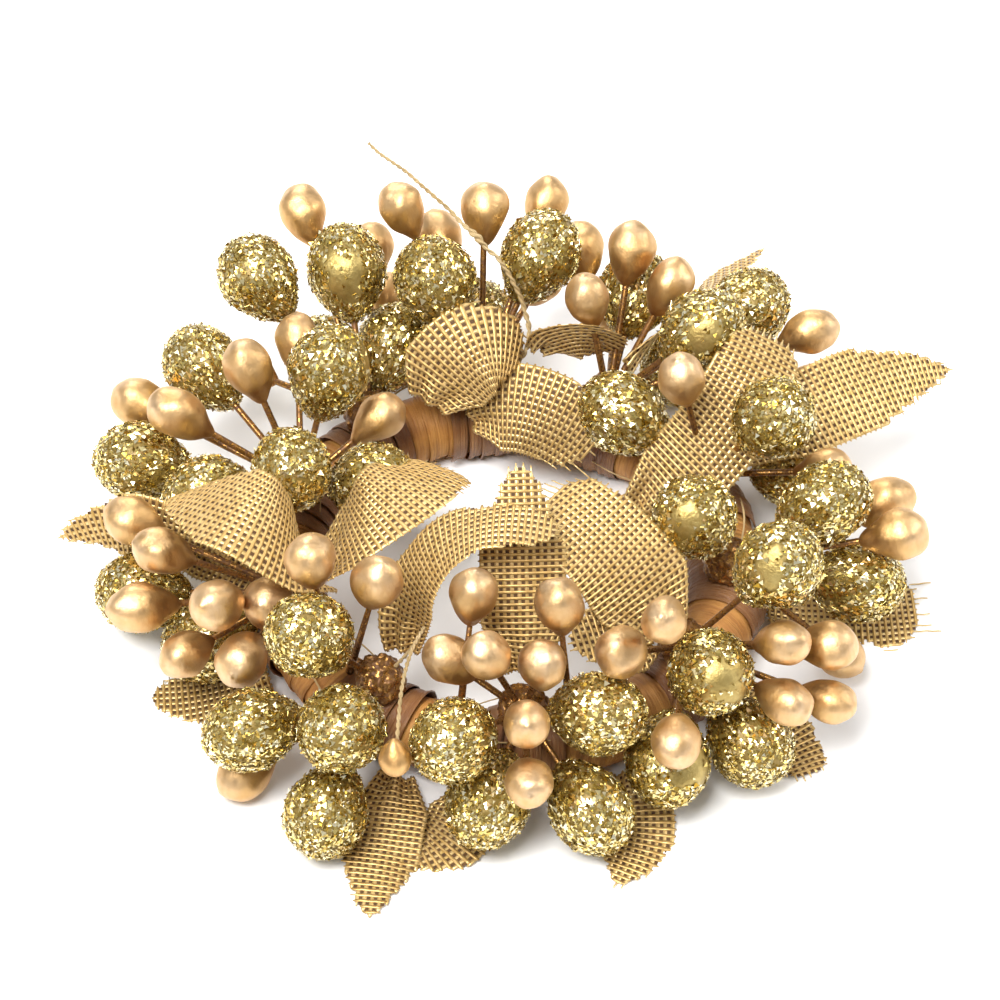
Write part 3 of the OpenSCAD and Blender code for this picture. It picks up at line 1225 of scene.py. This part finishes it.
    def build(self, yarns: list[bpy.types.Material], hole_shade: bpy.types.Material) -> bpy.types.Object:
        """Args:
            yarns: Finishes of the lengthways and of the crossing yarns.
            hole_shade: Finish of the dark patches of painted shade in the holes.

        Returns:
            The woven piece.
        """
        chance = random.Random(sum(map(ord, self.name)))
        bm = bmesh.new()
        self.yarns(bm, True, chance)
        self.yarns(bm, False, chance)
        bmesh.ops.solidify(bm, geom=list(bm.faces), thickness=self.thickness)
        smooth(bm)
        piece = finished(bm, f"{self.name}_weave", yarns)
        entered(piece, ROOT, [self.name])
        # Adds the dark patches of painted shade that fill the holes in the weave.
        hole_shade_patches = entered(self.hole_shade_patches(hole_shade), ROOT, [])
        return piece


LEAVES = [
    RibbonLeaf("leaf_back_right_tip", (60, 33.5, 15), (58, 47, 19), (54, 62, 18), 10, (80, 28), 0.1),
    RibbonLeaf("leaf_right_fold", (19.5, 18.5, 9.5), (18, 34.5, 25), (33.6, 43.2, 27), 12, (-35, -25), 0.9),
    RibbonLeaf("leaf_right_long", (24, 34, 14.5), (24, 52, 22), (25, 68, 15.5), 12, (-10, -30), 0.1),
    RibbonLeaf("leaf_back_fold", (115, 26, 14), (100, 27, 26.5), (86, 29, 18.5), 13, (-45, -40), 0.5),
    RibbonLeaf(
        "leaf_back_frayed", (103, 24.5, 11.5), (84, 23.5, 17), (57, 22, 11), 12, (-45, -50), 0.8, fray=1.6
    ),
    RibbonLeaf("leaf_back_narrow", (82, 31, 17), (72, 31, 23), (63, 34, 18), 10, (70, 70), 0.6),
    RibbonLeaf(
        "leaf_left_inner", (199, 27, 15), (203, 16, 32), (146.5, 10.8, 20), 13, (20, 0), 0.85, fray=1.2
    ),
    RibbonLeaf("leaf_left_broad", (204, 27, 16.5), (208, 36, 41), (183, 45, 23), 14, (10, 0), 0.2),
    RibbonLeaf("leaf_left_long", (187, 34.5, 8), (179, 48, 18), (177, 61, 9), 10, (80, 70), 0.1),
    RibbonLeaf("leaf_left_low", (206, 35.6, 1.8), (204, 44, 0.4), (201, 51, 0.4), 10, (0, 0), 0.3),
    RibbonLeaf("leaf_front_curl", (238, 26, 14.5), (226, 20, 36), (290, 18, 33), 10, (20, 0), 0.5),
    RibbonLeaf("leaf_front_upright", (275, 25.5, 14), (277, 18, 28), (282, 8, 35), 11, (0, 0), 0.3),
    RibbonLeaf(
        "leaf_front_right_broad", (317, 29, 16), (315, 19, 30), (309, 9, 28), 14, (20, 0), 0.8, fray=1.2
    ),
    RibbonLeaf("leaf_front_right_inner", (317, 26.5, 13), (305, 26, 18), (290, 25, 18), 10, (30, 20), 0.4),
    RibbonLeaf(
        "leaf_right_frayed", (356, 35.6, 1.8), (357, 47, 0.4), (358, 56, 0.4), 15, (0, 0), 0.75, fray=1.6
    ),
    RibbonLeaf("leaf_right_low", (327, 35.6, 1.8), (326, 46, 0.4), (322, 51, 0.4), 10, (0, 0), 0.5),
    RibbonLeaf("leaf_front_right_low", (296, 35.6, 1.8), (294, 46, 0.4), (286, 51.5, 0.4), 10, (0, 0), 0.2),
    RibbonLeaf("leaf_front_left_low", (263, 35.6, 1.8), (262, 44, 0.4), (254, 47.5, 0.4), 10, (0, 0), 0.2),
    RibbonLeaf("leaf_left_front_low", (246, 35.6, 1.8), (249, 46, 1.2), (252, 57.5, 0.4), 10, (0, 0), 0.2),
]


# ---- ring, bindings and wraps ----


@dataclass
class BastRing:
    """The ring wound with bast strip, its bindings, and the loose fibres round it.

    Attributes:
        ring: Finish of the wound ring.
        strap: Finish of the bindings.
        straw: Finish of the loose fibres.
        turns: Turns of the strip all round the ring.
        strip_width: Its width.
        steps_per_turn: Divisions of one turn.
        sway: How far a strip wanders along the ring.
        lean: How far it leans over within a turn, as a share of its width.
        overlap: How much one edge of a strip stands over the other.
        crumple: Depth of its lumps.
        insets: How far the winding, the tongue under it and the bindings lie inside their nominal radii.
        tongue: Turns and width of that tongue, as shares of the winding's.
        binding: Turns and width of a binding's strip.
        thicknesses: Thickness of the winding, of a binding and of a fibre.
        fibres: How many loose fibres there are.
        fibre_steps: Divisions of one fibre.
    """

    ring: bpy.types.Material
    strap: bpy.types.Material
    straw: bpy.types.Material
    turns: int = 64
    strip_width: float = 5.2
    steps_per_turn: int = 22
    sway: float = 0.8
    lean: float = 0.066
    overlap: float = 0.55
    crumple: float = 0.32
    insets: Triple = (0.35, 0.25, 0.2)
    tongue: tuple[float, float] = (-0.45, 0.8)
    binding: tuple[float, float] = (3.6, 2.9)
    thicknesses: Triple = (0.12, 0.15, 0.1)
    fibres: int = 26
    fibre_steps: int = 14

    def wound(
        self,
        bm: bmesh.types.BMesh,
        section: float,
        span: tuple[float, float],
        turns: float,
        width: float,
        seed: int,
    ) -> None:
        """Winds one strip round the ring.

        Args:
            bm: The piece's shape.
            section: Radius of the winding round the ring's middle line.
            span: The angles round the wreath where it starts and ends, in degrees.
            turns: How many times it goes round. A number below zero leaves only one flat step.
            width: Width of the strip.
            seed: Its number, which sets its lumps.
        """
        steps = int(turns * self.steps_per_turn)
        strip = bm.loops.layers.uv.get("strip") or bm.loops.layers.uv.new("strip")
        made = bmesh.ops.create_grid(bm, x_segments=5, y_segments=steps, size=0.5)["verts"]
        flat = {vert: (vert.co.x + 0.5, vert.co.y + 0.5) for vert in made}
        for vert in made:
            across, along = flat[vert]
            wind = 2.0 * math.pi * turns * along
            sway = self.sway * lump(Vector((along * turns * 1.3, seed * 9.1, 0.0)), 1.0, seed)
            angle = math.radians(span[0] + (span[1] - span[0]) * along)
            angle += ((across - 0.5) * width + sway) / RING_RADIUS
            angle += self.lean * math.sin(wind) * width / RING_RADIUS
            edge = Vector((across * 6.0, along * turns * 3.0, seed * 3.0))
            radius = section + self.overlap * (across - 0.5) + self.crumple * lump(edge, 1.0, seed)
            out = RING_RADIUS + radius * math.cos(wind)
            height = max(0.05, RING_HEIGHT + radius * math.sin(wind))
            vert.co = Vector((out * math.cos(angle), out * math.sin(angle), height))
        for face in {face for vert in made for face in vert.link_faces}:
            face.smooth = True
            for loop in face.loops:
                across, along = flat[loop.vert]
                loop[strip].uv = (across, along * turns * 6.0)

    def build(self) -> None:
        """Builds the wound ring, the short flat tongue of strip hidden in it, the bindings and the fibres."""
        bm = bmesh.new()
        self.wound(bm, RING_SECTION - self.insets[0], (0.0, 360.0), self.turns, self.strip_width, 3)
        turns, width = self.turns * self.tongue[0], self.strip_width * self.tongue[1]
        self.wound(bm, RING_SECTION - self.insets[1], (180.0, 540.0), turns, width, 8)
        bmesh.ops.solidify(bm, geom=list(bm.faces), thickness=self.thicknesses[0])
        entered(finished(bm, "fibre_ring_winding", [self.ring]), ROOT, ["fibre_ring"])
        bm = bmesh.new()
        for number, angle in enumerate(SPRAYS.values()):
            span = (angle - BINDING_SPAN / 2.0, angle + BINDING_SPAN / 2.0)
            self.wound(bm, BINDING_SECTION - self.insets[2], span, *self.binding, number + 20)
        bmesh.ops.solidify(bm, geom=list(bm.faces), thickness=self.thicknesses[1])
        entered(finished(bm, "bast_bindings_winding", [self.strap]), ROOT, ["bast_bindings"])
        entered(finished(self.hairs(), "loose_fibres", [self.straw]), ROOT, [])

    def hairs(self) -> bmesh.types.BMesh:
        """Draws the loose straw fibres that stand off the ring.

        Returns:
            Their shape.
        """
        chance = random.Random(77)
        bm = bmesh.new()
        strip = bm.loops.layers.uv.new("strip")
        for _ in range(self.fibres):
            start = chance.uniform(0.0, 360.0)
            span = chance.choice((-1, 1)) * chance.uniform(12.0, 34.0)
            wind = chance.uniform(0.2, 2.9)
            twist = chance.uniform(-0.9, 0.9)
            lift = chance.uniform(0.4, 1.5)
            made = bmesh.ops.create_grid(bm, x_segments=1, y_segments=self.fibre_steps, size=0.5)["verts"]
            for vert in made:
                along, side = vert.co.y + 0.5, vert.co.x * chance.uniform(0.18, 0.22)
                angle = math.radians(start + span * along)
                turn = wind + twist * along
                radius = RING_SECTION + 0.3 + lift * math.sin(math.pi * along) + side * 0.3
                out = RING_RADIUS + radius * math.cos(turn) + side
                height = max(0.1, RING_HEIGHT + radius * math.sin(turn))
                vert.co = Vector((out * math.cos(angle), out * math.sin(angle), height))
            for face in {face for vert in made for face in vert.link_faces}:
                for loop in face.loops:
                    loop[strip].uv = (0.5, 0.5)
        bmesh.ops.solidify(bm, geom=list(bm.faces), thickness=self.thicknesses[2])
        return bm


@dataclass
class StemWraps:
    """The crumpled tape wraps that gather the feet of each spray, and the stems that leave them.

    Attributes:
        tape: The tape's finish.
        wrap_radius: Radius of a wrap.
        detail: Subdivisions of the sphere that gives a wrap.
        folds: Depth and size of the coarse and of the fine folds.
        fold_share: How much the folds change the radius.
        base_share: The radius between folds.
    """

    tape: bpy.types.Material
    wrap_radius: float = 3.6
    detail: int = 5
    folds: tuple[tuple[float, float], ...] = ((0.5, 1.1), (0.22, 0.4))
    fold_share: float = 0.3
    base_share: float = 0.92

    def build(self) -> None:
        """Builds the wraps and dresses the frame's stems."""
        bm = bmesh.new()
        for number, solid in enumerate(solids_of("stem_wraps")):
            middle = Vector(solid.reshape(-1, 3).mean(axis=0))
            for vert in bmesh.ops.create_icosphere(bm, subdivisions=self.detail, radius=1.0)["verts"]:
                way = vert.co.normalized()
                fold = sum(depth * lump(way * 3.0, size, number) for depth, size in self.folds)
                vert.co = middle + way * self.wrap_radius * (self.base_share + self.fold_share * fold)
        smooth(bm)
        entered(finished(bm, "stem_wraps_tape", [self.tape]), ROOT, ["stem_wraps"])
        for spray in SPRAYS:
            dress(f"{spray}_stems", self.tape)


# ---- twine and hanging bead ----


@dataclass
class TwistedCord:
    """A two-ply cord along a route of points in millimetres.

    Attributes:
        name: The piece's name.
        nodes: The frame's nodes that it stands for.
        route: The points.
        diameter: The cord's diameter.
        lay_length: Length of one full twist of the plies.
        knot: Number of the route's point that is knotted, or -1.
        end_share: Diameter at the far end, as a share of the diameter.
        sides: Sides of a ply.
        divisions: Steps along the cord.
        ply_share: Radius of a ply, as a share of the diameter.
        twist_share: Distance from the cord's middle to a ply's, in the same way.
        knot_swell: How much thicker the knot is, as a share.
        knot_length: Half length of the knot.
        fuzz: Depth of a ply's unevenness, as a share.
        length: The cord's length, measured when its path is drawn.
    """

    name: str
    nodes: list[str]
    route: list[Triple]
    diameter: float
    lay_length: float
    knot: int = -1
    end_share: float = 1.0
    sides: int = 7
    divisions: int = 150
    ply_share: float = 0.27
    twist_share: float = 0.22
    knot_swell: float = 0.9
    knot_length: float = 1.1
    fuzz: float = 0.18
    length: float = field(init=False, default=0.0)

    def path(self, count: int) -> list[Vector]:
        """Smooths the route, measures it and divides it evenly.

        Args:
            count: How many steps to divide it into.

        Returns:
            The points between the steps, in millimetres.
        """
        points = [Vector(point) for point in self.route]
        fine = []
        for index in range(len(points) - 1):
            before = points[max(index - 1, 0)]
            after = points[min(index + 2, len(points) - 1)]
            for step in range(8):
                t = step / 8.0
                start, end = points[index], points[index + 1]
                lead = (end - before) * 0.5
                trail = (after - start) * 0.5
                fine.append(
                    (2 * t**3 - 3 * t**2 + 1) * start
                    + (t**3 - 2 * t**2 + t) * lead
                    + (-2 * t**3 + 3 * t**2) * end
                    + (t**3 - t**2) * trail
                )
        fine.append(points[-1])
        runs = [0.0]
        for before, after in zip(fine, fine[1:]):
            runs.append(runs[-1] + (after - before).length)
        self.length = runs[-1]
        spaced = []
        for number in range(count + 1):
            goal = self.length * number / count
            index = max(0, min(len(fine) - 2, sum(1 for run in runs[1:] if run < goal)))
            share = (goal - runs[index]) / max(1e-9, runs[index + 1] - runs[index])
            spaced.append(fine[index].lerp(fine[index + 1], min(1.0, share)))
        return spaced

    def build(self, material: bpy.types.Material) -> tuple[bpy.types.Object, list[Vector]]:
        """Builds the two plies twisted round each other.

        Args:
            material: The yarn's finish.

        Returns:
            The piece and the points of its middle line.
        """
        steps = self.divisions
        line = self.path(steps)
        bm = bmesh.new()
        strip = bm.loops.layers.uv.new("strip")
        for ply in range(2):
            made = bmesh.ops.create_grid(bm, x_segments=self.sides, y_segments=steps, size=0.5)["verts"]
            flat = {vert: (vert.co.x + 0.5, vert.co.y + 0.5) for vert in made}
            for vert in made:
                around, along = flat[vert]
                index = min(steps, round(along * steps))
                ahead = line[min(index + 1, steps)] - line[max(index - 1, 0)]
                side = ahead.cross(UPWARD).normalized()
                up = side.cross(ahead.normalized())
                thick = self.diameter * (1.0 - (1.0 - self.end_share) * along)
                if self.knot >= 0:
                    away = (along - self.knot / (len(self.route) - 1)) * self.length
                    thick *= 1.0 + self.knot_swell * math.exp(-((away / self.knot_length) ** 2))
                twist = 2.0 * math.pi * along * self.length / self.lay_length + ply * math.pi
                spoke = side * math.cos(twist) + up * math.sin(twist)
                centre = line[index] + spoke * thick * self.twist_share
                turn = 2.0 * math.pi * around
                rough = Vector((math.cos(turn) + ply * 4.0, math.sin(turn), along * 200.0))
                radius = thick * self.ply_share * (1.0 + self.fuzz * lump(rough, 1.0, 5))
                vert.co = centre + (side * math.cos(turn) + up * math.sin(turn)) * radius
            for face in {face for vert in made for face in vert.link_faces}:
                for loop in face.loops:
                    around, along = flat[loop.vert]
                    loop[strip].uv = (around * 2.0, along * 40.0)
        bmesh.ops.remove_doubles(bm, verts=bm.verts, dist=MERGE_GAP)
        bmesh.ops.holes_fill(bm, edges=[edge for edge in bm.edges if edge.is_boundary])
        bmesh.ops.recalc_face_normals(bm, faces=bm.faces)
        smooth(bm)
        piece = finished(bm, self.name, [material])
        return entered(piece, ROOT, self.nodes), [point * MM for point in line]


TWINE = TwistedCord(
    "twine_tail_plies",
    ["twine_tail"],
    [
        (-1, 29.5, 13.5), (0.5, 29.5, 15), (2, 30, 16.5), (3, 31, 18.5), (3, 32.5, 20.5), (2.5, 33.5, 22),
        (2, 34.5, 23.5), (1, 35.5, 25.5), (0, 36.5, 27), (-1, 37, 28.5), (-1.5, 37.5, 29), (-2.5, 38, 29.5),
        (-4, 39, 31), (-6, 40.5, 32), (-8, 42.5, 33), (-10, 44.5, 33.5), (-12, 47, 33.5), (-14, 49.5, 33.5),
        (-16, 52, 33), (-18, 54.5, 32.5), (-19.5, 57, 32),
    ],
    diameter=0.9,
    lay_length=2.6,
    knot=10,
    end_share=0.6,
)
THREAD = TwistedCord(
    "bead_thread_plies",
    ["bead_thread"],
    [
        (-15, -25, 14.5), (-12.5, -24.5, 18), (-11, -24.5, 21.5), (-11, -26.5, 24), (-12.5, -31, 24.5),
        (-13.5, -37, 24.5), (-14, -42.8, 21.6),
    ],
    diameter=0.6,
    lay_length=2.0,
)


@dataclass
class ThreadBead:
    """The small shiny drop bead at the end of its thread.

    Attributes:
        finish: The lacquer.
        form: The bead's shape.
        hang: Direction of its wide end.
        neck: Distance from its middle to its neck.
        detail: Subdivisions of the sphere that gives it.
        seed: Its number, which sets its lumps.
    """

    finish: list[bpy.types.Material]
    form: EggForm = EggForm(wide=2.3, taper=0.45, lumps=0.03, lump_size=2.0)
    hang: Triple = (0.05, -0.35, -1.0)
    neck: float = 2.9
    detail: int = 4
    seed: int = 4

    def build(self) -> bpy.types.Object:
        """Builds the bead.

        Returns:
            The piece.
        """
        low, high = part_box("thread_bead")
        middle = (Vector(low) + Vector(high)) / 2.0 / MM
        bm = bmesh.new()
        along = bm.verts.layers.float.new("along")
        turn = Vector(self.hang).normalized().to_track_quat("Z", "Y")
        for vert in bmesh.ops.create_icosphere(bm, subdivisions=self.detail, radius=1.0)["verts"]:
            way = vert.co.normalized()
            vert.co = middle + turn @ self.form.point(way, self.neck, self.seed)
            # This place sets the lacquer's painted shade towards the neck and painted light towards the
            # crown.
            vert[along] = 0.3 + 0.4 * way.z
        smooth(bm)
        return entered(finished(bm, "thread_bead_drop", self.finish), ROOT, ["thread_bead"])


# ---- studio ----


@dataclass(frozen=True)
class Softbox:
    """A square soft light: its name, its place and side in metres, and its power in watts."""

    name: str
    spot: Triple
    side: float
    power: float


@dataclass
class Studio:
    """The camera, the soft lights and the pale floor.

    Attributes:
        target: The point that the camera and the lights face, in metres.
        distance: The camera's distance from it.
        elevation: The camera's height over the floor, in degrees.
        lens: Its focal length in millimetres.
        shift: Its shift sideways and upwards.
        near: The nearest thing that it sees.
        softboxes: The lights.
        sky: Strength of the even light from all round.
        floor_reach: Half the side of the floor, in millimetres.
        floor_tones: The floor's two tones.
    """

    target: Triple = (0.0, 0.0, 0.015)
    distance: float = 0.6
    elevation: float = 48.0
    lens: float = 160.0
    shift: tuple[float, float] = (-0.007, 0.025)
    near: float = 0.01
    softboxes: tuple[Softbox, ...] = (
        Softbox("softbox_key", (-0.22, -0.3, 0.8), 0.45, 13.0),
        Softbox("softbox_right", (0.7, 0.1, 0.5), 0.4, 3.0),
        Softbox("softbox_back", (-0.1, 0.6, 0.45), 0.4, 3.0),
    )
    sky: float = 0.5
    floor_reach: float = 4000.0
    floor_tones: tuple[Triple, Triple] = ((0.93, 0.93, 0.93), (0.95, 0.95, 0.95))

    def camera(self) -> None:
        """Makes the camera and hands it to the scene."""
        data = bpy.data.cameras.new("camera")
        data.lens = self.lens
        data.shift_x, data.shift_y = self.shift
        data.clip_start = self.near
        camera = bpy.data.objects.new("camera", data)
        rise = math.radians(self.elevation)
        aim = Vector(self.target)
        camera.location = aim + Vector((0.0, -math.cos(rise), math.sin(rise))) * self.distance
        camera.rotation_euler = (aim - camera.location).to_track_quat("-Z", "Y").to_euler()
        bpy.context.scene.collection.objects.link(camera)
        bpy.context.scene.camera = camera

    def light(self, box: Softbox) -> None:
        """Adds one softbox that faces the wreath.

        Args:
            box: The softbox.
        """
        data = bpy.data.lights.new(box.name, "AREA")
        data.size = box.side
        data.energy = box.power
        lamp = bpy.data.objects.new(box.name, data)
        lamp.location = box.spot
        lamp.rotation_euler = (Vector(self.target) - lamp.location).to_track_quat("-Z", "Y").to_euler()
        bpy.context.scene.collection.objects.link(lamp)

    def floor(self) -> None:
        """Lays the floor."""
        bm = bmesh.new()
        bmesh.ops.create_grid(bm, x_segments=2, y_segments=2, size=self.floor_reach)
        shader = Shader("floor_paper")
        shader.set(Roughness=0.9)
        colour = shader.blend(shader.mask("grain", 2.0), *self.floor_tones)
        shader.join(colour, shader.surface.inputs["Base Color"])
        finished(bm, "floor", [shader.material])

    def build(self) -> None:
        """Sets the floor, the lights and the sky."""
        self.floor()
        for box in self.softboxes:
            self.light(box)
        world = bpy.data.worlds.new("studio")
        world.use_nodes = True
        back = world.node_tree.nodes["Background"]
        back.inputs["Color"].default_value = (1.0, 1.0, 1.0, 1.0)
        back.inputs["Strength"].default_value = self.sky
        bpy.context.scene.world = world
        bpy.context.scene.view_settings.view_transform = "Standard"


# ---- what the wreath carries ----

PATCHES = [
    BarePatch("back_left_glitter_berries", (120, 44.5, 24), (-0.1, -0.75, 0.65), 0.55),
    BarePatch("left_back_glitter_berries", (143, 30.5, 25), (0.95, 0.1, 0.1), 0.6),
    BarePatch("back_right_glitter_berries", (45, 37, 25), (-0.1, -0.8, 0.6), 0.4),
    BarePatch("right_glitter_berries", (346, 26, 23), (-0.2, -0.7, 0.6), 0.45),
    BarePatch("right_front_glitter_berries", (332, 39.5, 27), (-0.3, -0.7, 0.6), 0.45),
    BarePatch("right_front_glitter_berries", (313, 38.5, 18), (0.3, -0.8, 0.5), 0.6),
    BarePatch("right_front_glitter_berries", (301, 41, 9), (0.6, -0.6, 0.5), 0.5),
]


def main() -> None:
    """Builds every piece in order."""
    logging.basicConfig(level=logging.INFO, format="%(name)s: %(message)s")
    studio = Studio()
    studio.camera()

    straw = FibreFinish("straw_yarn", (0.45, 0.30, 0.12), (0.80, 0.63, 0.36), 0.75, 5.0).material()
    twine, line = TWINE.build(straw)
    THREAD.build(straw)

    # The pearls' lacquer, with painted light at the crowns and painted shade at the necks.
    satin = SatinFinish().material()
    tape = TapeFinish().material()
    ThreadBead([satin]).build()
    coat = [GroundFinish().material(), FlakeFinish().material()]
    for number, spray in enumerate(SPRAYS):
        GlitterBerries(f"{spray}_glitter_berries", coat, PATCHES).build(100 + 10 * number)
        PearlBerries(f"{spray}_pearls", [satin]).build(300 + 10 * number)
    for number in range(1, 5):
        pearl = PearlBerries(f"posable_pearl_{number}", [satin, tape], body=f"pearl_{number}")
        pearl.build(500 + 10 * number)

    yarns = [
        YarnFinish("warp_yarn", (0.56, 0.37, 0.12), (0.78, 0.58, 0.28), 0.6, 0.36).material(),
        YarnFinish("weft_yarn", (0.46, 0.28, 0.08), (0.66, 0.45, 0.18), 0.6, 0.42).material(),
    ]
    # Near-black brown for the patches of painted shade in the ribbon's holes.
    hole_shade = YarnFinish("painted_shade_net", (0.05, 0.02, 0.004), (0.12, 0.055, 0.012), 0.1, 0.7).material()
    for leaf in LEAVES:
        leaf.build(yarns, hole_shade)

    fibre = FibreFinish("wound_bast", (0.32, 0.12, 0.022), (0.76, 0.40, 0.10), 0.55).material()
    strap = FibreFinish("strap_bast", (0.18, 0.065, 0.02), (0.46, 0.24, 0.09), 0.35).material()
    BastRing(fibre, strap, straw).build()
    StemWraps(tape).build()
    dress("wire_hoop", WireFinish().material())
    studio.build()


if __name__ == "__main__":
    main()
